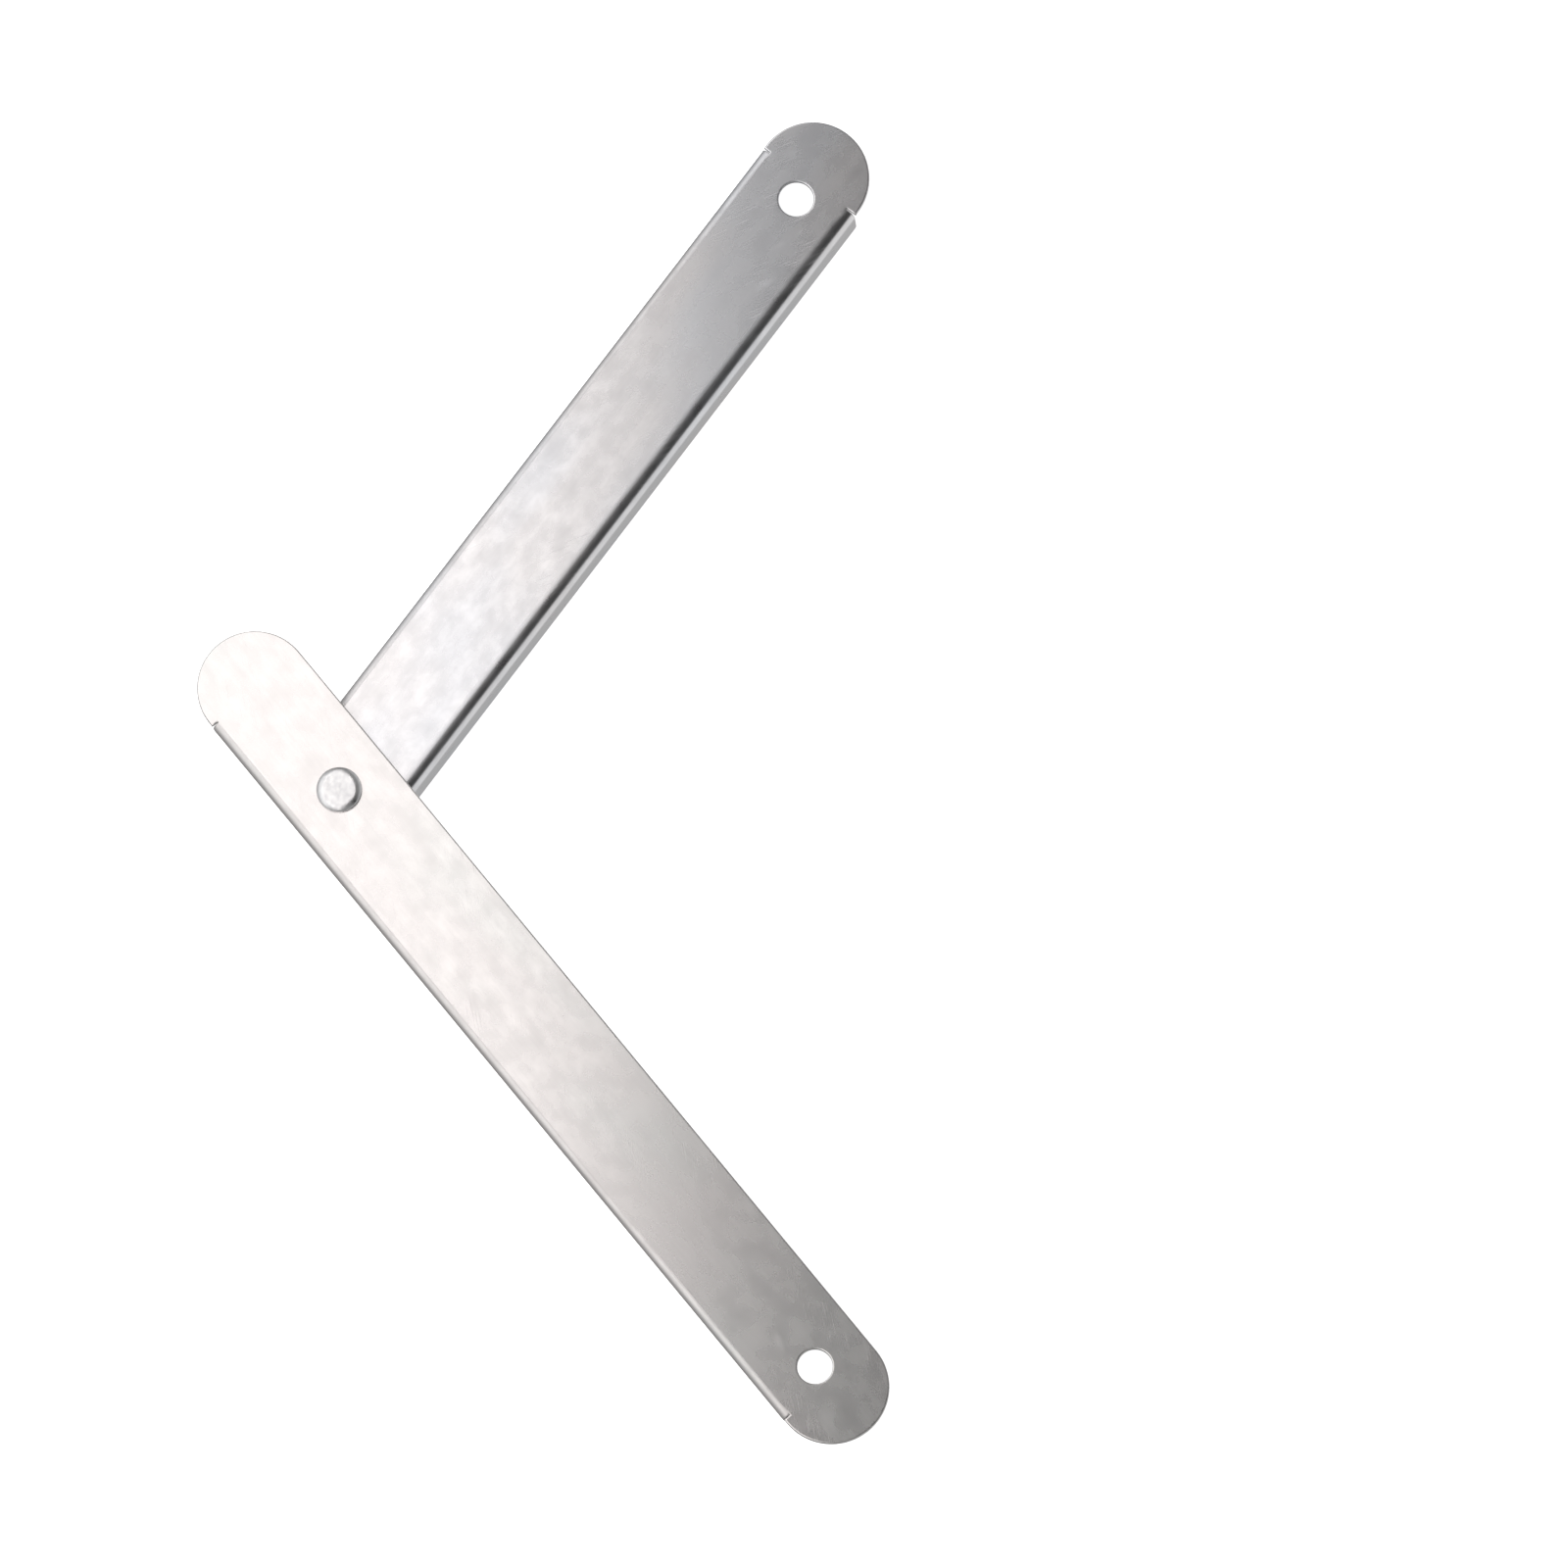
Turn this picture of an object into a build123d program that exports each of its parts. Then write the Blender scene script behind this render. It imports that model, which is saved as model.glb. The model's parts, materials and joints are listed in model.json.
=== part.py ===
"""Friction stay hinge: a pressed channel arm and a lipped flat arm on one spring-loaded friction rivet.

The frame is the channel arm's: the origin is the centre of its screw hole on the web's back face,
+X runs along the arm to the pivot and +Z is the rivet's axis, out of the front of the stay.
"""

from build123d import *
from math import cos, radians, sin
import os

# Driving dimensions, in millimetres and degrees
sheet = 1.0                    # thickness of both pressed arms
bend_radius = 1.8              # outside radius of the channel's bend on the lipped arm's side
tight_radius = 1.2             # outside radius of the channel's other bend and of the lip's
end_radius = 9.5               # half-round end of a tab
end_relief = 0.8               # straight left between a flange's end and the half-round
relief_slit = 0.3              # slit between a flange's end and the flat tab beside it

channel_reach = 125.0          # channel arm, screw hole to pivot
channel_round = 4.4            # screw hole to the centre of the half-round end
channel_half_width = 9.5
channel_depth = 9.0            # front of the web to the flanges' edges
channel_nose_radius = 8.8      # half-round end at the pivot
channel_flange_start = 1.0     # pivot to the flanges' near ends
channel_corner = 0.8           # rounded corners of the flanges

lipped_reach = 125.0           # lipped arm, pivot to screw hole
lipped_round = 4.4             # screw hole to the centre of the half-round end
lipped_tail = 22.4             # pivot to the centre of the tail's half-round
lip_depth = 2.5                # front face to the lip's edge
lip_corner = 0.4               # rounded corners of the lip
opening_angle = 104.0          # angle between the two arms as the stay lies open

screw_hole_radius = 2.9
shank_radius = 2.5
bore_clearance = 0.05          # radial, between the shank and everything on it

friction_washer_radius = 7.0
front_washer_thickness = 1.8
rear_washer_thickness = 1.0

disc_outer_radius = 6.5
disc_inner_radius = 3.6        # radius at which a disc spring's cone starts
disc_thickness = 0.5
disc_cone_height = 0.3

backing_washer_radius = 5.5
backing_washer_thickness = 0.8

head_radius = 3.75
head_height = 1.2
head_shoulder = 0.7
tail_radius = 4.0
tail_height = 1.3
tail_shoulder = 0.6
dimple_radius = 1.5
dimple_depth = 1.0

rim_break = 0.15               # broken edge round holes and washers

# Heights along the rivet, worked out from the stack
web_back = 0.0
web_front = web_back + sheet
plate_back = web_front + front_washer_thickness
plate_front = plate_back + sheet
rear_washer_back = web_back - rear_washer_thickness
disc_height = disc_thickness + disc_cone_height
front_disc_back = rear_washer_back - disc_height
rear_disc_back = front_disc_back - disc_height
backing_washer_back = rear_disc_back - backing_washer_thickness

bore_radius = shank_radius + bore_clearance
lipped_direction = 180.0 - opening_angle
pivot = (channel_reach, 0.0)

os.makedirs("parts", exist_ok=True)


def pivot_plane(height):
    """Plane square to the rivet, with its origin on the pivot and its X along the lipped arm."""
    angle = radians(lipped_direction)
    return Plane(
        origin=(*pivot, height),
        x_dir=(cos(angle), sin(angle), 0),
        z_dir=(0, 0, 1),
    )


def tongue(root_x, round_x, radius):
    """Face of a flat tongue: straight sides from root_x to round_x, then a half-round end."""
    outward = 1 if round_x > root_x else -1
    with BuildSketch() as outline:
        with BuildLine():
            Polyline((round_x, radius), (root_x, radius), (root_x, -radius), (round_x, -radius))
            ThreePointArc((round_x, -radius), (round_x + outward * radius, 0), (round_x, radius))
        make_face()
    return outline.sketch


def washer(height, radius, thickness):
    """Flat ring on the rivet's shank, with its outer edges broken, standing on a height."""
    with BuildPart() as ring:
        with BuildSketch(pivot_plane(height)):
            Circle(radius)
            Circle(bore_radius, mode=Mode.SUBTRACT)
        extrude(amount=thickness)
        outer_edges = ring.edges().filter_by(GeomType.CIRCLE).sort_by(SortBy.RADIUS)[-2:]
        chamfer(outer_edges, rim_break)
    return ring


def disc_spring(height, opens_forward):
    """Cone-shaped spring washer; two of them stand rim to rim."""
    rim_low, seat_low = (0.0, disc_cone_height)
    if opens_forward:
        rim_low, seat_low = (disc_cone_height, 0.0)
    with BuildPart() as disc:
        with BuildSketch(Plane.XZ):
            with BuildLine():
                Polyline(
                    (bore_radius, seat_low),
                    (disc_inner_radius, seat_low),
                    (disc_outer_radius, rim_low),
                    (disc_outer_radius, rim_low + disc_thickness),
                    (disc_inner_radius, seat_low + disc_thickness),
                    (bore_radius, seat_low + disc_thickness),
                    close=True,
                )
            make_face()
        revolve(axis=Axis.Z)
    disc.part.position = (*pivot, height)
    return disc


def finish(piece, name):
    """Label a finished piece and write it out."""
    piece.part.label = name
    export_step(piece.part, f"parts/{name}.step")


# Channel arm: a U-section between a round-ended screw tab and the round nose under the lipped arm
flange_start = end_relief - channel_round
flange_end = channel_reach - channel_flange_start
flange_length = flange_end - flange_start
open_flat = channel_half_width - bend_radius
tight_flat = channel_half_width - tight_radius
with BuildPart() as channel_arm:
    with BuildSketch(Plane.YZ.offset(flange_start)) as section:
        with Locations((0, web_front - channel_depth / 2)):
            Rectangle(2 * channel_half_width, channel_depth)
        tight_corner, open_corner = section.vertices().group_by(Axis.Y)[-1].sort_by(Axis.X)
        fillet(tight_corner, tight_radius)
        fillet(open_corner, bend_radius)
        with BuildSketch(mode=Mode.SUBTRACT) as hollow:
            with Locations((0, web_back - channel_depth / 2)):
                Rectangle(2 * (channel_half_width - sheet), channel_depth)
            tight_corner, open_corner = hollow.vertices().group_by(Axis.Y)[-1].sort_by(Axis.X)
            fillet(tight_corner, tight_radius - sheet)
            fillet(open_corner, bend_radius - sheet)
    extrude(amount=flange_length)
    fillet(channel_arm.edges().filter_by(Axis.Y).group_by(Axis.Z)[0], channel_corner)
    with BuildSketch(Plane.XY.offset(web_back)):
        add(tongue(flange_start - relief_slit, -channel_round, end_radius))
        add(tongue(flange_end + relief_slit, channel_reach, channel_nose_radius))
        with Locations((flange_start + flange_length / 2, (open_flat - tight_flat) / 2)):
            Rectangle(flange_length + 2 * relief_slit, open_flat + tight_flat)
    extrude(amount=sheet)
    with Locations((0, 0, web_front)):
        Hole(screw_hole_radius)
    with Locations((*pivot, web_front)):
        Hole(bore_radius)
finish(channel_arm, "channel_arm")

# Lipped arm: a flat strip with two round ends and one shallow lip along its clockwise edge
lip_start = end_relief - lipped_tail
lip_end = lipped_reach + lipped_round - end_relief
with BuildPart() as lipped_arm:
    section_plane = Plane(
        origin=pivot_plane(plate_front).from_local_coords((lip_start, 0, 0)),
        x_dir=pivot_plane(0).y_dir,
        z_dir=pivot_plane(0).x_dir,
    )
    with BuildSketch(section_plane):
        with BuildLine():
            Polyline(
                (-end_radius, -tight_radius),
                (-end_radius, -lip_depth),
                (sheet - end_radius, -lip_depth),
                (sheet - end_radius, -tight_radius),
            )
            RadiusArc(
                (sheet - end_radius, -tight_radius),
                (tight_radius - end_radius, -sheet),
                tight_radius - sheet,
            )
            Polyline(
                (tight_radius - end_radius, -sheet),
                (end_radius, -sheet),
                (end_radius, 0),
                (tight_radius - end_radius, 0),
            )
            RadiusArc((tight_radius - end_radius, 0), (-end_radius, -tight_radius), -tight_radius)
        make_face()
    extrude(amount=lip_end - lip_start)
    lip_ends = lipped_arm.edges().filter_by(Axis(pivot, section_plane.x_dir)).group_by(Axis.Z)[0]
    fillet(lip_ends, lip_corner)
    with BuildSketch(pivot_plane(plate_back)):
        add(tongue(lip_start - relief_slit, -lipped_tail, end_radius))
        add(tongue(lip_end + relief_slit, lipped_reach + lipped_round, end_radius))
        with Locations(((lip_start + lip_end) / 2, tight_radius / 2)):
            Rectangle(lip_end - lip_start + 2 * relief_slit, 2 * end_radius - tight_radius)
    extrude(amount=sheet)
    with BuildSketch(pivot_plane(plate_front)):
        Circle(bore_radius)
        with Locations((lipped_reach, 0)):
            Circle(screw_hole_radius)
    extrude(amount=-sheet, mode=Mode.SUBTRACT)
finish(lipped_arm, "lipped_arm")

# Pivot rivet: a low round head in front, a shank, and a rolled tail with a dimple behind
with BuildPart() as pivot_rivet:
    with BuildSketch(Plane.XZ):
        with BuildLine():
            Polyline(
                (0, plate_front + head_height),
                (0, backing_washer_back - tail_height + dimple_depth),
                (dimple_radius, backing_washer_back - tail_height),
                (tail_radius - tail_shoulder, backing_washer_back - tail_height),
            )
            RadiusArc(
                (tail_radius - tail_shoulder, backing_washer_back - tail_height),
                (tail_radius, backing_washer_back - tail_height + tail_shoulder),
                -tail_shoulder,
            )
            Polyline(
                (tail_radius, backing_washer_back - tail_height + tail_shoulder),
                (tail_radius, backing_washer_back),
                (shank_radius, backing_washer_back),
                (shank_radius, plate_front),
                (head_radius, plate_front),
                (head_radius, plate_front + head_height - head_shoulder),
            )
            RadiusArc(
                (head_radius, plate_front + head_height - head_shoulder),
                (head_radius - head_shoulder, plate_front + head_height),
                -head_shoulder,
            )
            Line((head_radius - head_shoulder, plate_front + head_height), (0, plate_front + head_height))
        make_face()
    revolve(axis=Axis.Z)
pivot_rivet.part.position = (*pivot, 0)
finish(pivot_rivet, "pivot_rivet")

# Friction and spring stack on the shank, front to back
finish(washer(web_front, friction_washer_radius, front_washer_thickness), "front_friction_washer")
finish(washer(rear_washer_back, friction_washer_radius, rear_washer_thickness), "rear_friction_washer")
finish(disc_spring(front_disc_back, False), "front_disc_spring")
finish(disc_spring(rear_disc_back, True), "rear_disc_spring")
finish(washer(backing_washer_back, backing_washer_radius, backing_washer_thickness), "backing_washer")
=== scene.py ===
import json
import math

import bpy
from mathutils import Matrix, Vector, noise
from mathutils.geometry import delaunay_2d_cdt, intersect_point_line


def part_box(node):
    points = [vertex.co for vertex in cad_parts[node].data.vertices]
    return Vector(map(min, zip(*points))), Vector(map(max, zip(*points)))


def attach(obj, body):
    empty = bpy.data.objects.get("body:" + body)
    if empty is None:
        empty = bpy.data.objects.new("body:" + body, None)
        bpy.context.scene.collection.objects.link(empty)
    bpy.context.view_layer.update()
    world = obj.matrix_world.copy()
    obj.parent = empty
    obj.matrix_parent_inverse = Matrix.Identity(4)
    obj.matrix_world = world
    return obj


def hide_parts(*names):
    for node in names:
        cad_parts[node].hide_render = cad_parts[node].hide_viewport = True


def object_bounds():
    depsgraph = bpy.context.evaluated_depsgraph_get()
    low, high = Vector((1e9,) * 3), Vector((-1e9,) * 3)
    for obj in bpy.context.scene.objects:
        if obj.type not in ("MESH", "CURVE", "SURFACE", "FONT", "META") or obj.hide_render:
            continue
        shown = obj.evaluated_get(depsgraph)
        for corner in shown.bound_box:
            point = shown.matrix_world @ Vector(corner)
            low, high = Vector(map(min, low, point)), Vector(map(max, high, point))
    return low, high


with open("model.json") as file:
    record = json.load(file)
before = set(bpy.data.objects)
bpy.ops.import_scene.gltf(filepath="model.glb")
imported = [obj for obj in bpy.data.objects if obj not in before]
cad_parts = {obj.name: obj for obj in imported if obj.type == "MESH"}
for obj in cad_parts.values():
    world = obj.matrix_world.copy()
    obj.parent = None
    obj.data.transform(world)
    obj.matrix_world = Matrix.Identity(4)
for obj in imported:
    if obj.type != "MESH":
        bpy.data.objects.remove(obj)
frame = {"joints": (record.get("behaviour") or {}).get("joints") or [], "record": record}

MM = 0.001
cad_low, cad_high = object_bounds()

# Facts taken from the frame
mounts = {mount["name"]: mount for mount in frame["record"]["mounts"]}
joint = frame["joints"][0]
pivot = Vector(joint["pos_m"])
channel_hole = Vector(mounts["channel_arm_hole"]["pos_m"])
lipped_hole = Vector(mounts["lipped_arm_hole"]["pos_m"])
screw_radius = mounts["channel_arm_hole"]["dims"]["r_mm"] * MM
sheet = mounts["channel_arm_hole"]["dims"]["length_mm"] * MM
channel_reach = (channel_hole.xy - pivot.xy).length
lipped_reach = (lipped_hole.xy - pivot.xy).length
channel_low, channel_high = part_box("channel_arm")
lipped_low, lipped_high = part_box("lipped_arm")
rivet_low, rivet_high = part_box("pivot_rivet")

# Dimensions of the pressed arms, as in the CAD
OPEN_BEND = 1.8 * MM                    # channel's bend on the lipped arm's side
TIGHT_BEND = 1.2 * MM                   # channel's other bend and the lip's
END_RADIUS = 9.5 * MM
END_RELIEF = 0.8 * MM                   # straight left between a flange's end and the half-round
RIVET_BORE = 2.55 * MM
CHANNEL_ROUND = 4.4 * MM                # screw hole to the centre of the half-round end
CHANNEL_NOSE = 8.8 * MM
CHANNEL_FLANGE_START = 1.0 * MM
CHANNEL_CORNER = 0.8 * MM
LIPPED_ROUND = 4.4 * MM
LIPPED_TAIL = 22.4 * MM
LIP_CORNER = 0.4 * MM

# Details of the pressed arms that the CAD leaves out
OPEN_EASE = 0.9 * MM                    # the face already leans this far before the open bend
EASE_RUN = 3 * MM                       # and does so less, this near to a flange's end
SLIT = 0.12 * MM                        # relief beside a flange's end, nearly closed by the press
EDGE_ROUND = 0.22 * MM                  # rolled-over rim of the pressed sheet
TIGHT_WORK, OPEN_WORK = 1.0, 0.1        # how hard each bend works the sheet's surface
WAVES = (                               # length along, length across, half the height, seed
    (45 * MM, 60 * MM, 0.03 * MM, 0.0),
    (14 * MM, 16 * MM, 0.008 * MM, 7.0),
)
WAVE_ONSET = (12 * MM, 40 * MM)         # distances from the pivot between which the waves set in

# Dimensions of the turned pieces
SHANK_RADIUS = 2.5 * MM
HEAD_RADIUS = 3.75 * MM
HEAD_FLAT = 2.5 * MM                    # radius of the head's hammered top
HEAD_DROP = 0.5 * MM                    # how far the sloping shoulder falls
HEAD_ROLL = 0.1 * MM                    # rolled rim of the head
HAMMERED = (2.4 * MM, 3.2 * MM)         # the marks fade out between these radii
HAMMER_MARKS = (                        # size, depth and seed
    (0.8 * MM, 0.012 * MM, 3.0),
    (2.1 * MM, 0.03 * MM, 9.0),
)
SEAT_BREAK = 0.1 * MM                   # broken edge where the head and the tail bear
TAIL_ROLL = 0.6 * MM
DIMPLE_RADIUS = 1.5 * MM
DIMPLE_DEPTH = 1.0 * MM
GREASE_FILM = 0.01 * MM                 # kept on both faces of every flat washer
WASHER_RIM = 0.2 * MM
DISC_RIM = 0.12 * MM
DISC_THICKNESS = 0.5 * MM
DISC_SEAT = 3.6 * MM                    # radius where the cone starts

# How finely everything is meshed
ROW_STEP = 1.6 * MM
FACE_GAP = 0.35 * ROW_STEP              # kept between a face's grid and its edges
FOLD_GAP = 0.15 * ROW_STEP              # the same on bends and flanges
EDGE_STEP = 0.8 * MM
ARC_STEP = math.radians(5)
BEND_ROWS = 10
EDGE_SUPPORT = 0.1 * MM                 # flat ring kept beside the rim
EASE_ROWS = (1, 3, 5, 7, 9, 11)         # rows where the face leans, counted in support rings
ROUND_STEPS = 4
CORNER_STEPS = 4
MITRE_LIMIT = 0.6                       # keeps a sharp corner's inset point from running away
TURN_COUNT = 96                         # facets round a turned piece
PROFILE_STEPS = 8                       # steps along a curved stretch of a turned profile
ROLL_STEPS = 6                          # steps round the tail's rolled edge
MICRON = 1e-6


# ---------------------------------------------------------------- small mesh tools
def link(name, mesh):
    """New object in the scene for a mesh."""
    made = bpy.data.objects.new(name, mesh)
    bpy.context.scene.collection.objects.link(made)
    return made


def smooth_step(low, high, value):
    """0 below low, 1 above high, smooth in between."""
    share = min(1.0, max(0.0, (value - low) / (high - low)))
    return share * share * (3 - 2 * share)


def arc(centre_s, radius, start, sweep):
    """Points on an arc of the flat blank, both ends included."""
    count = max(2, math.ceil(abs(sweep) / ARC_STEP))
    angles = [start + sweep * k / count for k in range(count + 1)]
    return [(centre_s + radius * math.cos(a), radius * math.sin(a)) for a in angles]


def run(start, end):
    """Points along a straight edge, without its last one."""
    count = max(1, math.ceil(math.dist(start, end) / EDGE_STEP))
    return [
        (start[0] + (end[0] - start[0]) * k / count, start[1] + (end[1] - start[1]) * k / count)
        for k in range(count)
    ]


def inside(point, loop):
    """True if a point of the plane lies in a closed loop."""
    s, v = point
    hit = False
    for (s0, v0), (s1, v1) in zip(loop, loop[1:] + loop[:1]):
        if (v0 > v) != (v1 > v) and s < s0 + (v - v0) * (s1 - s0) / (v1 - v0):
            hit = not hit
    return hit


def clear_of(point, loop, gap):
    """True if a point stays a gap away from every edge of a loop."""
    here = Vector((*point, 0))
    for start, end in zip(loop, loop[1:] + loop[:1]):
        if abs(start[0] - point[0]) > 3 * ROW_STEP:     # too far along the arm to matter
            continue
        a, b = Vector((*start, 0)), Vector((*end, 0))
        foot, share = intersect_point_line(here, a, b)
        foot = a if share < 0 else b if share > 1 else foot
        if (here - foot).length < gap:
            return False
    return True


def inset(loop, amount):
    """Closed loop moved an amount to its left, which is into the material."""
    moved = []
    for k, here in enumerate(loop):
        before, after = loop[k - 1], loop[(k + 1) % len(loop)]
        one = Vector((here[0] - before[0], here[1] - before[1])).normalized()
        two = Vector((after[0] - here[0], after[1] - here[1])).normalized()
        middle = (one + two).normalized()
        stretch = amount / max(MITRE_LIMIT, middle.dot(one))
        moved.append((here[0] - middle.y * stretch, here[1] + middle.x * stretch))
    return moved


def ring_faces(ring, after):
    """Quads between two rings of vertex numbers."""
    count = len(ring)
    return [(ring[(k + 1) % count], ring[k], after[k], after[(k + 1) % count]) for k in range(count)]


def smooth_mesh(name, verts, faces, blank):
    """Mesh with smooth shading; the materials read each vertex's place on the unbent blank."""
    mesh = bpy.data.meshes.new(name)
    mesh.from_pydata(verts, [], faces)
    mesh.update()
    for polygon in mesh.polygons:
        polygon.use_smooth = True
    stored = mesh.attributes.new("blank", "FLOAT_VECTOR", "POINT")
    stored.data.foreach_set("vector", [part for spot in blank for part in spot])
    return mesh


def hand_over(piece, node, body, material):
    """Give a visible piece its material and let it stand for its CAD node."""
    piece.data.materials.append(material)
    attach(piece, body)
    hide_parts(node)


# ---------------------------------------------------------------- pressed arms
class Arm:
    """A pressed strip in its own frame: s runs from the pivot to the screw hole, v is the developed width."""

    def __init__(self, name, hole, front, half_width, bends, flange_span, depth, ends, corner, seed):
        self.name = name
        self.seed = seed
        self.half_width = half_width
        self.bends = bends
        self.flat = {side: half_width - bends.get(side, 0.0) for side in (-1, 1)}
        self.bend_length = {side: radius * math.pi / 2 for side, radius in bends.items()}
        self.developed = {
            side: self.flat[side] + self.bend_length[side] + depth - radius for side, radius in bends.items()
        }
        self.flange_span = flange_span
        self.depth = depth
        self.ends = ends
        self.corner = corner
        self.reach = (hole.xy - pivot.xy).length
        along = (hole.xy - pivot.xy).normalized()
        self.matrix = Matrix(
            (
                (along.x, -along.y, 0, pivot.x),
                (along.y, along.x, 0, pivot.y),
                (0, 0, 1, front),
                (0, 0, 0, 1),
            )
        )

    def width_rows(self, side):
        """Developed stations across one bend and flange, from the bend line to the flange's edge."""
        start, length = self.flat[side], self.bend_length[side]
        rows = [start + length * k / BEND_ROWS for k in range(BEND_ROWS + 1)]
        straight = self.depth - self.bends[side]
        count = max(1, round(straight / ROW_STEP))
        rows += [rows[-1] + straight * k / count for k in range(1, count + 1)]
        return rows

    def side_edge(self, side):
        """Blank's edge along one side, from the near round end to the far one."""
        (near_s, near_r), (far_s, far_r) = self.ends
        start, stop = (near_s, side * near_r), (far_s, side * far_r)
        if side not in self.bends:
            return run(start, stop)
        first, last = self.flange_span
        foot, brim = side * self.flat[side], side * self.developed[side]
        corner = self.developed[side] - self.corner
        rows = [row for row in self.width_rows(side) if row < corner]
        points = run(start, (first - SLIT, side * near_r))
        points += run((first - SLIT, side * near_r), (first - SLIT, foot))
        points += [(first - SLIT, foot)]
        points += [(first, side * row) for row in rows]
        rounding = []
        for k in range(CORNER_STEPS + 1):
            angle = math.pi / 2 * k / CORNER_STEPS
            back = self.corner * (1 - math.cos(angle))
            rounding.append((back, side * (corner + self.corner * math.sin(angle))))
        points += [(first + back, v) for back, v in rounding]
        points += run((first + self.corner, brim), (last - self.corner, brim))[1:]
        points += [(last - back, v) for back, v in reversed(rounding)]
        points += [(last, side * row) for row in reversed(rows)]
        points += run((last + SLIT, foot), (last + SLIT, side * far_r))
        points += run((last + SLIT, side * far_r), stop)
        return points

    def outline(self):
        """The blank's closed edge, anticlockwise."""
        (near_s, near_r), (far_s, far_r) = self.ends
        points = self.side_edge(-1)
        points += arc(far_s, far_r, -math.pi / 2, math.pi)[:-1]
        points += [(far_s, far_r)]
        back = self.side_edge(1)
        points += list(reversed(back[1:]))
        points += arc(near_s, near_r, math.pi / 2, math.pi)[:-1]
        return points

    def holes(self):
        """Edges of the rivet's bore and of the screw hole, clockwise."""
        return [
            arc(0, RIVET_BORE, 0, -2 * math.pi)[:-1],
            arc(self.reach, screw_radius, 0, -2 * math.pi)[:-1],
        ]

    def grid(self, edge):
        """Points inside the blank, in rows along the arm."""
        (near_s, near_r), (far_s, far_r) = self.ends
        low, high = near_s - near_r, far_s + far_r
        columns = [low + ROW_STEP * k for k in range(int((high - low) / ROW_STEP) + 1)]
        right, left = -self.flat[-1], self.flat[1]
        across = round((left - right) / ROW_STEP)
        rows = [right + (left - right) * k / across for k in range(across + 1)]
        rows += [right + EDGE_SUPPORT * k for k in EASE_ROWS] + [left - EDGE_SUPPORT]
        for side in self.bends:
            rows += [side * row for row in self.width_rows(side)[1:]]
        bores = ((0, RIVET_BORE), (self.reach, screw_radius))
        points = []
        for row in rows:
            gap = FACE_GAP if right <= row <= left else FOLD_GAP
            for column in columns:
                point = (column, row)
                if not inside(point, edge) or not clear_of(point, edge, gap):
                    continue
                if any(math.dist(point, (centre, 0)) < radius + gap for centre, radius in bores):
                    continue
                points.append(point)
        return points

    def wave(self, s, v):
        """How far the sheet sinks below its true plane: a little unflatness, none round the pivot."""
        sink = 0.0
        for along, across, height, seed in WAVES:
            sink += height * (1 + noise.noise(Vector((s / along, v / across, seed + self.seed))))
        far = smooth_step(*WAVE_ONSET, abs(s))
        fade = 1 - smooth_step(self.half_width, self.half_width + 0.5 * self.depth, abs(v))
        return -far * fade * sink

    def ease(self, s, side):
        """How far before the bend line the face starts to lean; a hair's breadth before a tight bend."""
        first, last = self.flange_span
        if self.bends.get(side) != OPEN_BEND:
            return MICRON
        return max(MICRON, OPEN_EASE * smooth_step(0, EASE_RUN, min(s - first, last - s)))

    def turned_down(self, s, v):
        """True where the blank belongs to a flange or lip."""
        first, last = self.flange_span
        side = 1 if v > 0 else -1
        within = first - MICRON <= s <= last + MICRON
        return side in self.bends and within and abs(v) > self.flat[side] - self.ease(s, side)

    def fold(self, s, v):
        """How hard the press has worked the surface there, from 0 on the face to 1."""
        if not self.turned_down(s, v):
            return 0.0
        return TIGHT_WORK if self.bends[1 if v > 0 else -1] == TIGHT_BEND else OPEN_WORK

    def place(self, s, v, depth):
        """Where a point of the blank goes when the sheet is bent, a depth below its outer face."""
        lift = self.wave(s, v)
        if not self.turned_down(s, v):
            return self.matrix @ Vector((s, v, lift - depth))
        side = 1 if v > 0 else -1
        bend, ease = self.bends[side], self.ease(s, side)
        over = abs(v) - self.flat[side]
        sag = ease ** 2 / (6 * bend)
        if over < ease:
            lead = over + ease
            slope = lead ** 2 / (4 * ease * bend)
            across, down = over - lead ** 5 / (160 * ease ** 2 * bend ** 2), lead ** 3 / (12 * ease * bend)
        elif over < self.bend_length[side]:
            slope = over / bend
            across, down = bend * math.sin(slope), sag + bend * (1 - math.cos(slope))
        else:
            slope = math.pi / 2
            straight = self.depth - bend
            share = (over - self.bend_length[side]) / straight
            across, down = bend, bend + sag + share * (straight - sag)
        y = self.flat[side] + across - depth * math.sin(slope)
        return self.matrix @ Vector((s, side * y, lift - down - depth * math.cos(slope)))

    def build(self):
        """The finished sheet: front face, back face, and a rim that rolls over from one to the other."""
        loops = [self.outline()] + self.holes()
        inner = [inset(loop, EDGE_ROUND + EDGE_SUPPORT) for loop in loops]
        points, constraints = [], []
        for loop in inner:
            first = len(points)
            points += loop
            constraints += [(first + k, first + (k + 1) % len(loop)) for k in range(len(loop))]
        rim_count = len(points)
        points += self.grid(inner[0])
        _, _, faces, sources, _, _ = delaunay_2d_cdt(
            [Vector((s / MM, v / MM)) for s, v in points], constraints, [], 0, 1e-5
        )
        flat = [points[origin[0]] for origin in sources]
        kept = []
        for face in faces:
            middle = (sum(flat[k][0] for k in face) / 3, sum(flat[k][1] for k in face) / 3)
            if inside(middle, inner[0]) and not any(inside(middle, hole) for hole in inner[1:]):
                kept.append(face)
        place_of = {one: k for k, origin in enumerate(sources) for one in origin}
        return self.assemble(flat, kept, loops, [place_of[k] for k in range(rim_count)])

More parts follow.
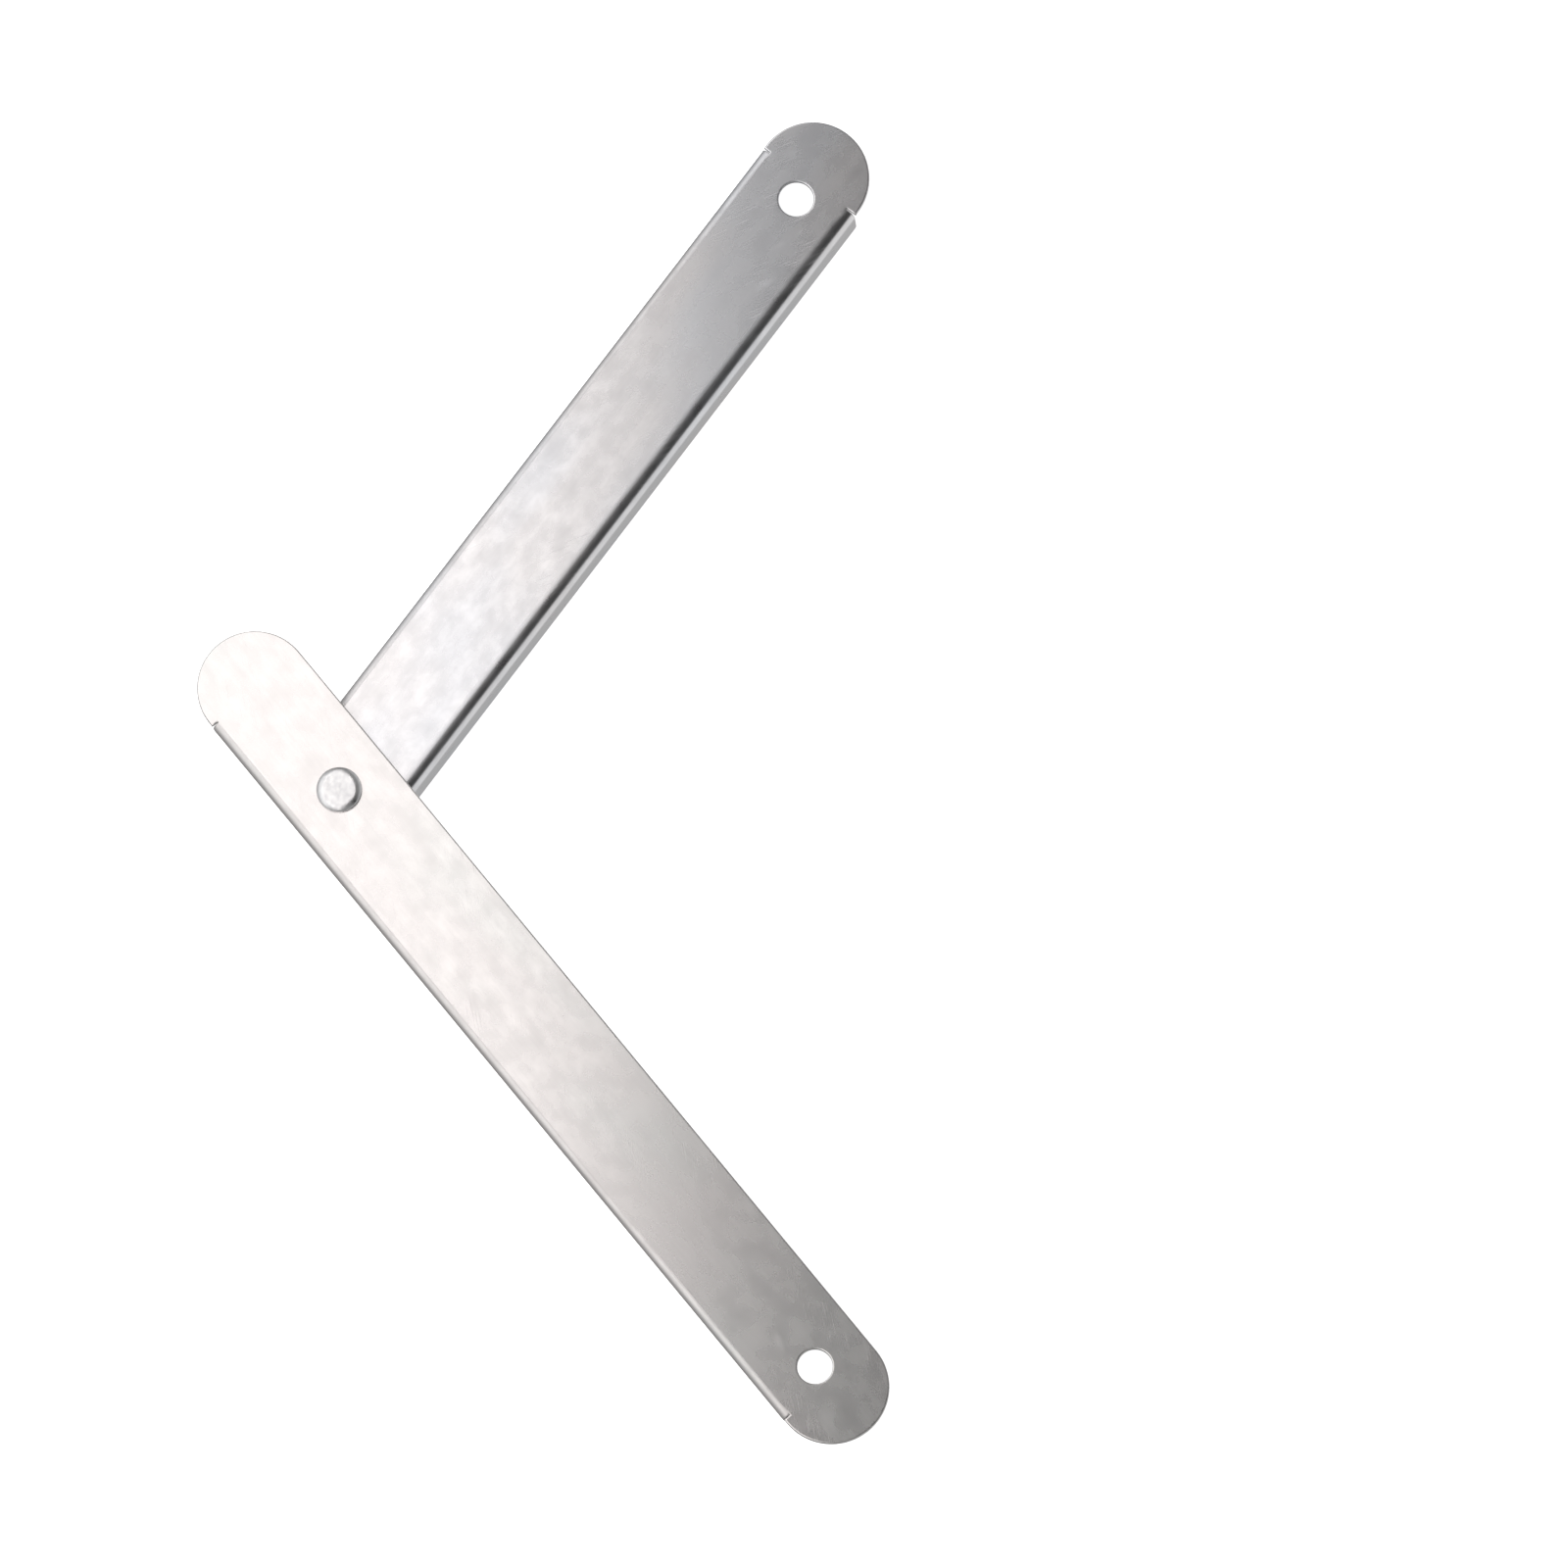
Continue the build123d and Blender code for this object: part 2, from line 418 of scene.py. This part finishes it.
    def assemble(self, flat, faces, loops, rim):
        """Mesh of both faces and the rolled rims, with the cut edges and the bends marked."""
        count = len(flat)
        stations = [(s, v, 0.0) for s, v in flat] + [(s, v, sheet) for s, v in flat]
        polygons = list(faces) + [tuple(k + count for k in reversed(face)) for face in faces]
        turns = [math.pi / 2 * k / ROUND_STEPS for k in range(ROUND_STEPS + 1)]
        rows = [(EDGE_ROUND * (1 - math.sin(t)), EDGE_ROUND * (1 - math.cos(t))) for t in turns]
        rows += [(step, sheet - depth) for step, depth in reversed(rows)]
        start = 0
        for loop in loops:
            front = rim[start:start + len(loop)]
            ring = front
            for step, depth in rows:
                fresh = list(range(len(stations), len(stations) + len(loop)))
                stations += [(s, v, depth) for s, v in inset(loop, step)]
                polygons += ring_faces(ring, fresh)
                ring = fresh
            polygons += ring_faces(ring, [k + count for k in front])
            start += len(loop)
        mesh = smooth_mesh(self.name, [self.place(*station) for station in stations], polygons, stations)
        cut = [float(0 < depth < sheet) for _, _, depth in stations]
        bend = [self.fold(s, v) for s, v, _ in stations]
        for name, values in (("cut_edge", cut), ("bend", bend)):
            mesh.attributes.new(name, "FLOAT", "POINT").data.foreach_set("value", values)
        return mesh


# ---------------------------------------------------------------- turned pieces
def soften(corners, radius):
    """Closed profile with its corners rounded off."""
    soft = []
    for k, corner in enumerate(corners):
        here = Vector(corner)
        before = Vector(corners[k - 1]) - here
        after = Vector(corners[(k + 1) % len(corners)]) - here
        cut = min(radius, 0.45 * before.length, 0.45 * after.length)
        start, stop = here + before.normalized() * cut, here + after.normalized() * cut
        for step in range(CORNER_STEPS + 1):
            share = step / CORNER_STEPS
            one, two = start.lerp(here, share), here.lerp(stop, share)
            soft.append(tuple(one.lerp(two, share)))
    return soft


def lathe(name, profile, closed, dent=None):
    """Turned piece on the rivet's axis; the profile of (radius, height) runs clockwise round the metal."""
    blank, faces, rings = [], [], []
    for radius, height in profile:
        spots = 1 if radius < MICRON else TURN_COUNT
        rings.append(range(len(blank), len(blank) + spots))
        for k in range(spots):
            angle = 2 * math.pi * k / TURN_COUNT
            x, y = radius * math.cos(angle), radius * math.sin(angle)
            low = dent(x, y, radius) if dent and height > lipped_high.z else 0.0
            blank.append((x, y, height - low))
    after = rings[1:] + rings[:1] if closed else rings[1:]
    for upper, lower in zip(rings, after):
        for k in range(TURN_COUNT):
            near, far = k, (k + 1) % TURN_COUNT
            corners = (
                upper[near % len(upper)],
                lower[near % len(lower)],
                lower[far % len(lower)],
                upper[far % len(upper)],
            )
            faces.append(tuple(dict.fromkeys(corners)))
    verts = [(x + pivot.x, y + pivot.y, z) for x, y, z in blank]
    piece = link(name, smooth_mesh(name, verts, faces, blank))
    normals = piece.modifiers.new("flat_normals", "WEIGHTED_NORMAL")
    normals.keep_sharp = True
    return piece


def plain_washer(node):
    """Flat ring with rounded rims that fills its CAD node's box."""
    low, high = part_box(node)
    radius = (high.x - low.x) / 2
    top, bottom = high.z - GREASE_FILM, low.z + GREASE_FILM
    corners = [(RIVET_BORE, top), (radius, top), (radius, bottom), (RIVET_BORE, bottom)]
    return lathe(f"{node}_ring", soften(corners, WASHER_RIM), True)


def disc_spring(node, rim_in_front):
    """Dished spring: a flat seat round the rivet, then a cone out to the rim."""
    low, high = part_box(node)
    radius = (high.x - low.x) / 2
    seat, rim = (low.z, high.z - DISC_THICKNESS) if rim_in_front else (high.z - DISC_THICKNESS, low.z)
    under = [(radius, rim), (DISC_SEAT, seat), (RIVET_BORE, seat)]
    corners = [(r, z + DISC_THICKNESS) for r, z in reversed(under)] + under
    return lathe(f"{node}_cone", soften(corners, DISC_RIM), True)


def head_dents(x, y, radius):
    """Depth of the shallow hammer marks in the rivet's head."""
    sink = 0.0
    for size, depth, seed in HAMMER_MARKS:
        sink += depth * (1 + noise.noise(Vector((x / size, y / size, seed))))
    return sink * (1 - smooth_step(*HAMMERED, radius))


def rivet():
    """Low head with a long sloping shoulder, shank, and a rolled tail with a dimple."""
    top, bottom = rivet_high.z, rivet_low.z
    seat, tail_top = lipped_high.z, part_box("backing_washer")[0].z
    profile = [(HEAD_FLAT * k / PROFILE_STEPS, top) for k in range(PROFILE_STEPS + 1)]
    slope = HEAD_RADIUS - HEAD_ROLL - HEAD_FLAT
    for share in (k / PROFILE_STEPS for k in range(1, PROFILE_STEPS + 1)):
        profile.append((HEAD_FLAT + slope * share, top - HEAD_DROP * share * share))
    edge = top - HEAD_DROP
    profile.append((HEAD_RADIUS - 0.2 * HEAD_ROLL, edge - 0.8 * HEAD_ROLL))
    profile.append((HEAD_RADIUS, edge - 1.8 * HEAD_ROLL))
    profile += [(HEAD_RADIUS, seat + SEAT_BREAK), (HEAD_RADIUS - SEAT_BREAK, seat)]
    profile += [(SHANK_RADIUS, seat), (SHANK_RADIUS, tail_top)]
    tail = (rivet_high.x - rivet_low.x) / 2
    profile += [(tail - SEAT_BREAK, tail_top), (tail, tail_top - SEAT_BREAK)]
    for angle in (math.pi / 2 * k / ROLL_STEPS for k in range(ROLL_STEPS + 1)):
        profile.append(
            (tail - TAIL_ROLL * (1 - math.cos(angle)), bottom + TAIL_ROLL * (1 - math.sin(angle)))
        )
    for share in (k / PROFILE_STEPS for k in range(PROFILE_STEPS + 1)):
        profile.append((DIMPLE_RADIUS * (1 - share), bottom + DIMPLE_DEPTH * smooth_step(0, 1, share)))
    return lathe("pivot_rivet_turned", profile, False, head_dents)


# ---------------------------------------------------------------- node tools
def remap(tree, value, span, onto, smooth=False):
    """Value moved from one span onto another, clamped."""
    node = tree.nodes.new("ShaderNodeMapRange")
    node.interpolation_type = "SMOOTHSTEP" if smooth else "LINEAR"
    node.inputs["From Min"].default_value, node.inputs["From Max"].default_value = span
    node.inputs["To Min"].default_value, node.inputs["To Max"].default_value = onto
    tree.links.new(value, node.inputs["Value"])
    return node.outputs["Result"]


def maths(tree, operation, one, two=0.0):
    """One sum; the second value may be a plain number."""
    node = tree.nodes.new("ShaderNodeMath")
    node.operation = operation
    tree.links.new(one, node.inputs[0])
    if isinstance(two, (int, float)):
        node.inputs[1].default_value = two
    else:
        tree.links.new(two, node.inputs[1])
    return node.outputs["Value"]


def blend_colours(tree, factor, one, two):
    """Colour between two colours; either may be a socket."""
    node = tree.nodes.new("ShaderNodeMix")
    node.data_type = "RGBA"
    tree.links.new(factor, node.inputs["Factor"])
    for socket, colour in (("A", one), ("B", two)):
        if isinstance(colour, tuple):
            node.inputs[socket].default_value = (*colour, 1)
        else:
            tree.links.new(colour, node.inputs[socket])
    return node.outputs["Result"]


def ramp(tree, value, stops):
    """Smooth grey ramp over a node's value; stops are (position, brightness) pairs."""
    node = tree.nodes.new("ShaderNodeValToRGB")
    node.color_ramp.interpolation = "EASE"
    elements = node.color_ramp.elements
    while len(elements) < len(stops):
        elements.new(0.5)
    for element, (position, grey) in zip(elements, stops):
        element.position = position
        element.color = (grey, grey, grey, 1)
    tree.links.new(value, node.inputs["Fac"])
    return node.outputs["Color"]


# ---------------------------------------------------------------- camera, lights, floor
TILT_DOWN = math.radians(11.3)          # camera off the stay's normal, towards the lower end
TILT_RIGHT = math.radians(2.4)          # and towards the open side
CAMERA_DISTANCE = 6.0
CAMERA_SHARE = 3.865                    # picture widths per metre at the pivot
CHANNEL_RISE = math.radians(53.4)       # channel arm above the picture's horizontal
AIM_RIGHT, AIM_UP = 73.4 * MM, 1.0 * MM

channel_heading = math.atan2(channel_hole.y - pivot.y, channel_hole.x - pivot.x)
picture_turn = channel_heading - CHANNEL_RISE
picture_right = Vector((math.cos(picture_turn), math.sin(picture_turn), 0))
picture_up = Vector((-math.sin(picture_turn), math.cos(picture_turn), 0))

# Surround: greys from the picture's left to its right, and a black strip for the open bend to mirror
ABOVE_GREYS = [(0.2, 0.65), (0.48, 0.22), (0.54, 0.17), (0.75, 0.30)]
BELOW_GREYS = [(0.40, 0.26), (0.60, 0.34), (0.72, 0.95)]
HORIZON_SLANT = -0.22
HORIZON_BLUR = (-0.05, 0.25)
FLAG_COLOUR = (0.01, 0.01, 0.01)
FLAG_ACROSS = Vector((0.985, 0.065, 0.126))  # square to the strip's length
FLAG_WIDTH = (0.30, 0.17)                    # fades in from the first to the second, on both sides
FLAG_START = (0.05, 0.20)                    # fades in towards the picture's right

FLOOR_HALF = 3.0
FLOOR_GLOW = 0.9

PANEL_HEIGHT = 0.25
PANEL_UP = 0.05
PANEL_SIZE = (0.17, 1.10)
PANEL_EDGE = 0.039                      # right-hand edge, right of the pivot
PANEL_RADIANCE = 1.42
PANEL_TINT = (1.0, 0.968, 0.958)
CARD_PLACE = (-0.15, 0.0, 0.14)
CARD_TARGET = (0.0, 0.0, 0.02)
CARD_SIZE = (0.12, 0.40)
CARD_RADIANCE = 0.75


def picture_place(right, up, height):
    """Point a distance right of and above the pivot as the picture shows it, a height over the floor."""
    spot = Vector((pivot.x, pivot.y, 0)) + picture_right * right + picture_up * up
    spot.z = cad_low.z + height
    return spot


def make_camera():
    """Long lens, looking at the front of the stay from its lower end."""
    data = bpy.data.cameras.new("camera")
    data.sensor_width = 36
    data.lens = CAMERA_SHARE * CAMERA_DISTANCE * data.sensor_width
    data.clip_start, data.clip_end = 0.05, 20
    camera = bpy.data.objects.new("camera", data)
    bpy.context.scene.collection.objects.link(camera)
    level = Matrix((picture_right, picture_up, (0, 0, 1))).transposed()
    facing = level @ Matrix.Rotation(TILT_DOWN, 3, "X") @ Matrix.Rotation(TILT_RIGHT, 3, "Y")
    aim = facing @ Vector((AIM_RIGHT, AIM_UP, CAMERA_DISTANCE))
    front_of_pivot = Vector((pivot.x, pivot.y, lipped_high.z))
    camera.matrix_world = Matrix.Translation(front_of_pivot + aim) @ facing.to_4x4()
    bpy.context.scene.camera = camera


def area_light(name, place, target, size, radiance, tint=(1.0, 1.0, 1.0)):
    """Soft rectangular light that the camera itself doesn't see."""
    data = bpy.data.lights.new(name, "AREA")
    data.shape = "RECTANGLE"
    data.size, data.size_y = size
    data.energy = radiance * math.pi * size[0] * size[1]
    data.color = tint
    light = bpy.data.objects.new(name, data)
    bpy.context.scene.collection.objects.link(light)
    back = (place - target).normalized()
    side = picture_up.cross(back).normalized()
    up = back.cross(side)
    light.matrix_world = Matrix(
        (
            (side.x, up.x, back.x, place.x),
            (side.y, up.y, back.y, place.y),
            (side.z, up.z, back.z, place.z),
            (0, 0, 0, 1),
        )
    )
    light.visible_camera = False


def make_floor():
    """Plain pale floor under the flanges, lit from within so that it shows no edge."""
    mesh = bpy.data.meshes.new("floor")
    corners = [(FLOOR_HALF * x, FLOOR_HALF * y, 0) for x, y in ((-1, -1), (1, -1), (1, 1), (-1, 1))]
    mesh.from_pydata(corners, [], [(0, 1, 2, 3)])
    floor = link("floor", mesh)
    floor.location = (0, 0, cad_low.z)
    material = bpy.data.materials.new("floor")
    material.use_nodes = True
    shader = material.node_tree.nodes["Principled BSDF"]
    shader.inputs["Base Color"].default_value = (0.9, 0.9, 0.9, 1)
    shader.inputs["Roughness"].default_value = 0.9
    shader.inputs["Specular IOR Level"].default_value = 0.0
    shader.inputs["Emission Color"].default_value = (1, 1, 1, 1)
    shader.inputs["Emission Strength"].default_value = FLOOR_GLOW
    mesh.materials.append(material)
    floor.visible_glossy = False


def towards(tree, direction):
    """How far the ray heads in a direction, from -1 to 1."""
    where = tree.nodes.new("ShaderNodeTexCoord")
    node = tree.nodes.new("ShaderNodeVectorMath")
    node.operation = "DOT_PRODUCT"
    node.inputs[1].default_value = direction
    tree.links.new(where.outputs["Generated"], node.inputs[0])
    return node.outputs["Value"]


def make_world():
    """Studio surround: bright above left, a white card low on the right, and one black strip."""
    world = bpy.data.worlds.new("studio")
    bpy.context.scene.world = world
    world.use_nodes = True
    tree = world.node_tree
    nodes, links = tree.nodes, tree.links
    nodes.clear()
    right = towards(tree, picture_right)
    share = remap(tree, right, (-1.0, 1.0), (0.0, 1.0))
    off_strip = maths(tree, "ABSOLUTE", towards(tree, FLAG_ACROSS))
    flag = maths(
        tree,
        "MULTIPLY",
        remap(tree, right, FLAG_START, (0.0, 1.0), smooth=True),
        remap(tree, off_strip, FLAG_WIDTH, (0.0, 1.0), smooth=True),
    )
    above = blend_colours(tree, flag, ramp(tree, share, ABOVE_GREYS), FLAG_COLOUR)
    below = ramp(tree, share, BELOW_GREYS)
    slant = maths(tree, "MULTIPLY", right, HORIZON_SLANT)
    slanted = maths(tree, "ADD", towards(tree, (0, 0, 1)), slant)
    raised = remap(tree, slanted, HORIZON_BLUR, (0.0, 1.0), smooth=True)
    surround = nodes.new("ShaderNodeBackground")
    links.new(blend_colours(tree, raised, below, above), surround.inputs["Color"])
    plain = nodes.new("ShaderNodeBackground")
    plain.inputs["Color"].default_value = (1, 1, 1, 1)
    path = nodes.new("ShaderNodeLightPath")
    mix = nodes.new("ShaderNodeMixShader")
    links.new(path.outputs["Is Camera Ray"], mix.inputs["Fac"])
    links.new(surround.outputs["Background"], mix.inputs[1])
    links.new(plain.outputs["Background"], mix.inputs[2])
    out = nodes.new("ShaderNodeOutputWorld")
    links.new(mix.outputs["Shader"], out.inputs["Surface"])


bpy.context.scene.view_settings.view_transform = "Standard"
make_camera()
make_floor()
make_world()
panel_right = PANEL_EDGE - PANEL_SIZE[0] / 2
area_light(
    "left_panel",
    picture_place(panel_right, PANEL_UP, PANEL_HEIGHT),
    picture_place(panel_right, PANEL_UP, 0.0),
    PANEL_SIZE,
    PANEL_RADIANCE,
    PANEL_TINT,
)
area_light("left_card", picture_place(*CARD_PLACE), picture_place(*CARD_TARGET), CARD_SIZE, CARD_RADIANCE)


# ---------------------------------------------------------------- materials
def new_material(name):
    """Material with its node tree and its shader."""
    material = bpy.data.materials.new(name)
    material.use_nodes = True
    return material, material.node_tree, material.node_tree.nodes["Principled BSDF"]


def spread(tree, sizes, turn=0.0, centre=(0, 0, 0)):
    """The blank's coordinates, counted in patches of some millimetres along each axis."""
    where = tree.nodes.new("ShaderNodeAttribute")
    where.attribute_name = "blank"
    shift = tree.nodes.new("ShaderNodeVectorMath")
    shift.operation = "SUBTRACT"
    shift.inputs[1].default_value = [part * MM for part in centre]
    tree.links.new(where.outputs["Vector"], shift.inputs[0])
    turned = tree.nodes.new("ShaderNodeMapping")
    turned.inputs["Rotation"].default_value = (0, 0, turn)
    tree.links.new(shift.outputs["Vector"], turned.inputs["Vector"])
    scaled = tree.nodes.new("ShaderNodeMapping")
    scaled.inputs["Scale"].default_value = [1 / (size * MM) for size in sizes]
    tree.links.new(turned.outputs["Vector"], scaled.inputs["Vector"])
    return scaled.outputs["Vector"]


def patches(tree, sizes, detail=2.0, coarseness=0.5, turn=0.0, seed=0.0):
    """Cloudy noise around 0.5 with patches of some millimetres along each axis."""
    cloud = tree.nodes.new("ShaderNodeTexNoise")
    cloud.inputs["Scale"].default_value = 1.0
    cloud.inputs["Detail"].default_value = detail
    cloud.inputs["Roughness"].default_value = coarseness
    centre = (seed * 61, seed * 37, seed * 13)
    tree.links.new(spread(tree, sizes, turn, centre), cloud.inputs["Vector"])
    return cloud.outputs["Fac"]


def scale_colour(tree, colour, factor):
    """Colour made lighter or darker."""
    node = tree.nodes.new("ShaderNodeVectorMath")
    node.operation = "SCALE"
    tree.links.new(colour, node.inputs[0])
    tree.links.new(factor, node.inputs["Scale"])
    return node.outputs["Vector"]


def marked(tree, name):
    """A mark stored on the mesh."""
    node = tree.nodes.new("ShaderNodeAttribute")
    node.attribute_name = name
    return node.outputs["Fac"]


def relief(tree, shader, height, depth, below=None):
    """Bump of a depth in millimetres."""
    node = tree.nodes.new("ShaderNodeBump")
    node.inputs["Strength"].default_value = 1.0
    node.inputs["Distance"].default_value = depth * MM
    tree.links.new(height, node.inputs["Height"])
    if below:
        tree.links.new(below, node.inputs["Normal"])
    tree.links.new(node.outputs["Normal"], shader.inputs["Normal"])
    return node.outputs["Normal"]


def smear(tree, centre, size, turn):
    """Mask of one soft oblong mark."""
    far = tree.nodes.new("ShaderNodeVectorMath")
    far.operation = "LENGTH"
    tree.links.new(spread(tree, (*size, 50.0), turn, centre), far.inputs[0])
    return remap(tree, far.outputs["Value"], (0.3, 1.0), (1.0, 0.0))


def sheet_steel(name, cool, warm, seed, cloudiness, scuff_at, roughness):
    """Mill-finish sheet: cloudy patches, warmer areas, rolling grain, sparse scuffs and a slight ripple."""
    material, tree, shader = new_material(name)
    clouds = patches(tree, (4.2, 3.2, 3.2), detail=3.0, coarseness=0.55, seed=seed)
    areas = patches(tree, (34, 14, 14), detail=1.5, seed=seed + 3)
    grain = patches(tree, (16, 0.5, 0.5), detail=1.0, seed=seed + 5)
    lines = patches(tree, (4.5, 0.16, 0.16), detail=0.0, turn=0.5, seed=seed + 8)
    some = remap(tree, patches(tree, (18, 9, 9), seed=seed + 11), (0.55, 0.68), (0.0, 1.0))
    scratches = maths(tree, "MULTIPLY", remap(tree, lines, (0.66, 0.76), (0.0, 1.0)), some)
    rough_spot = smear(tree, scuff_at, (2.4, 0.9), 0.35)
    scuff = maths(tree, "MULTIPLY", rough_spot, remap(tree, clouds, (0.35, 0.6), (0.3, 1.0)))

    hue = blend_colours(tree, remap(tree, areas, (0.4, 0.6), (0.0, 1.0)), cool, warm)
    tone = remap(tree, clouds, (0.25, 0.75), (1 - cloudiness, 1 + cloudiness))
    tone = maths(tree, "ADD", tone, remap(tree, grain, (0.3, 0.7), (-0.012, 0.012)))
    tone = maths(tree, "ADD", tone, maths(tree, "MULTIPLY", scuff, 0.16))
    tone = maths(tree, "SUBTRACT", tone, maths(tree, "MULTIPLY", marked(tree, "cut_edge"), 0.08))
    tree.links.new(scale_colour(tree, hue, tone), shader.inputs["Base Color"])

    rough = remap(tree, clouds, (0.25, 0.75), (roughness + 0.04, roughness - 0.04))
    rough = maths(tree, "ADD", rough, maths(tree, "MULTIPLY", scratches, 0.12))
    rough = maths(tree, "ADD", rough, maths(tree, "MULTIPLY", marked(tree, "bend"), 0.28))
    rough = maths(tree, "ADD", rough, maths(tree, "MULTIPLY", marked(tree, "cut_edge"), 0.12))
    tree.links.new(rough, shader.inputs["Roughness"])
    shader.inputs["Metallic"].default_value = 1.0

    ripple = patches(tree, (7.0, 4.5, 4.5), detail=0.5, seed=seed + 14)
    waves = relief(tree, shader, ripple, 0.008)
    relief(tree, shader, grain, 0.0003, waves)
    return material


def turned_steel(name, light, dark, roughness, seed, hammered):
    """Turned or formed steel: fine rings, patches of tone, shallow marks."""
    material, tree, shader = new_material(name)
    from_axis = tree.nodes.new("ShaderNodeVectorMath")
    from_axis.operation = "LENGTH"
    tree.links.new(spread(tree, (0.12, 0.12, 400.0)), from_axis.inputs[0])
    rings = tree.nodes.new("ShaderNodeTexNoise")
    rings.noise_dimensions = "1D"
    rings.inputs["Scale"].default_value = 1.0
    rings.inputs["Detail"].default_value = 2.0
    tree.links.new(from_axis.outputs["Value"], rings.inputs["W"])
    clouds = patches(tree, (0.9, 0.9, 0.9), detail=3.0, coarseness=0.6, seed=seed)
    hue = blend_colours(tree, remap(tree, clouds, (0.35, 0.65), (0.0, 1.0)), dark, light)
    tree.links.new(hue, shader.inputs["Base Color"])
    rough = remap(tree, clouds, (0.3, 0.7), (roughness + 0.08, roughness - 0.05))
    tree.links.new(rough, shader.inputs["Roughness"])
    shader.inputs["Metallic"].default_value = 1.0
    marks = relief(tree, shader, clouds, hammered)
    relief(tree, shader, rings.outputs["Fac"], 0.003, marks)
    return material


def nylon(name):
    """Natural nylon: slightly yellow, waxy, with a moulded surface."""
    material, tree, shader = new_material(name)
    clouds = patches(tree, (2.5, 2.5, 2.5), detail=3.0, seed=2)
    paler = remap(tree, clouds, (0.35, 0.65), (0.0, 1.0))
    hue = blend_colours(tree, paler, (0.74, 0.71, 0.62), (0.82, 0.80, 0.73))
    tree.links.new(hue, shader.inputs["Base Color"])
    tree.links.new(remap(tree, clouds, (0.3, 0.7), (0.38, 0.52)), shader.inputs["Roughness"])
    shader.inputs["Subsurface Weight"].default_value = 0.15
    shader.inputs["Subsurface Scale"].default_value = 0.5 * MM
    speckle = patches(tree, (0.3, 0.3, 0.3), detail=2.0, seed=4)
    relief(tree, shader, speckle, 0.01)
    return material


channel_steel = sheet_steel(
    "channel_steel",
    cool=(0.640, 0.648, 0.668),
    warm=(0.662, 0.652, 0.656),
    seed=1.0,
    cloudiness=0.07,
    scuff_at=(110.6, -4.5, 0),
    roughness=0.27,
)
lipped_steel = sheet_steel(
    "lipped_steel",
    cool=(0.655, 0.650, 0.640),
    warm=(0.668, 0.648, 0.640),
    seed=2.0,
    cloudiness=0.035,
    scuff_at=(118.0, -2.0, 0),
    roughness=0.27,
)
rivet_steel = turned_steel("rivet_steel", (0.68, 0.68, 0.68), (0.60, 0.60, 0.61), 0.31, 3.0, 0.012)
spring_steel = turned_steel("spring_steel", (0.36, 0.36, 0.39), (0.27, 0.27, 0.29), 0.36, 4.0, 0.006)
zinc_steel = turned_steel("washer_steel", (0.58, 0.585, 0.60), (0.50, 0.50, 0.52), 0.30, 5.0, 0.006)
washer_nylon = nylon("friction_nylon")

# ---------------------------------------------------------------- the stay
channel = Arm(
    "channel_arm",
    hole=channel_hole,
    front=channel_high.z,
    half_width=(channel_high.y - channel_low.y) / 2,
    bends={-1: OPEN_BEND, 1: TIGHT_BEND},
    flange_span=(CHANNEL_FLANGE_START, channel_reach + CHANNEL_ROUND - END_RELIEF),
    depth=channel_high.z - channel_low.z,
    ends=((0.0, CHANNEL_NOSE), (channel_reach + CHANNEL_ROUND, END_RADIUS)),
    corner=CHANNEL_CORNER,
    seed=11,
)
lipped = Arm(
    "lipped_arm",
    hole=lipped_hole,
    front=lipped_high.z,
    half_width=END_RADIUS,
    bends={-1: TIGHT_BEND},
    flange_span=(END_RELIEF - LIPPED_TAIL, lipped_reach + LIPPED_ROUND - END_RELIEF),
    depth=lipped_high.z - lipped_low.z,
    ends=((-LIPPED_TAIL, END_RADIUS), (lipped_reach + LIPPED_ROUND, END_RADIUS)),
    corner=LIP_CORNER,
    seed=10,
)
for arm, node, body, slot, material in (
    (channel, "channel_arm", "channel_side", "channel_steel", channel_steel),
    (lipped, "lipped_arm", "lipped_side", "lipped_steel", lipped_steel),
):
    hand_over(link(f"{node}_sheet", arm.build()), node, body, material)

hand_over(rivet(), "pivot_rivet", "lipped_side", rivet_steel)
for node in ("front_friction_washer", "rear_friction_washer"):
    hand_over(plain_washer(node), node, "channel_side", washer_nylon)
for node, rim_in_front in (("front_disc_spring", False), ("rear_disc_spring", True)):
    hand_over(disc_spring(node, rim_in_front), node, "lipped_side", spring_steel)
hand_over(plain_washer("backing_washer"), "backing_washer", "lipped_side", zinc_steel)
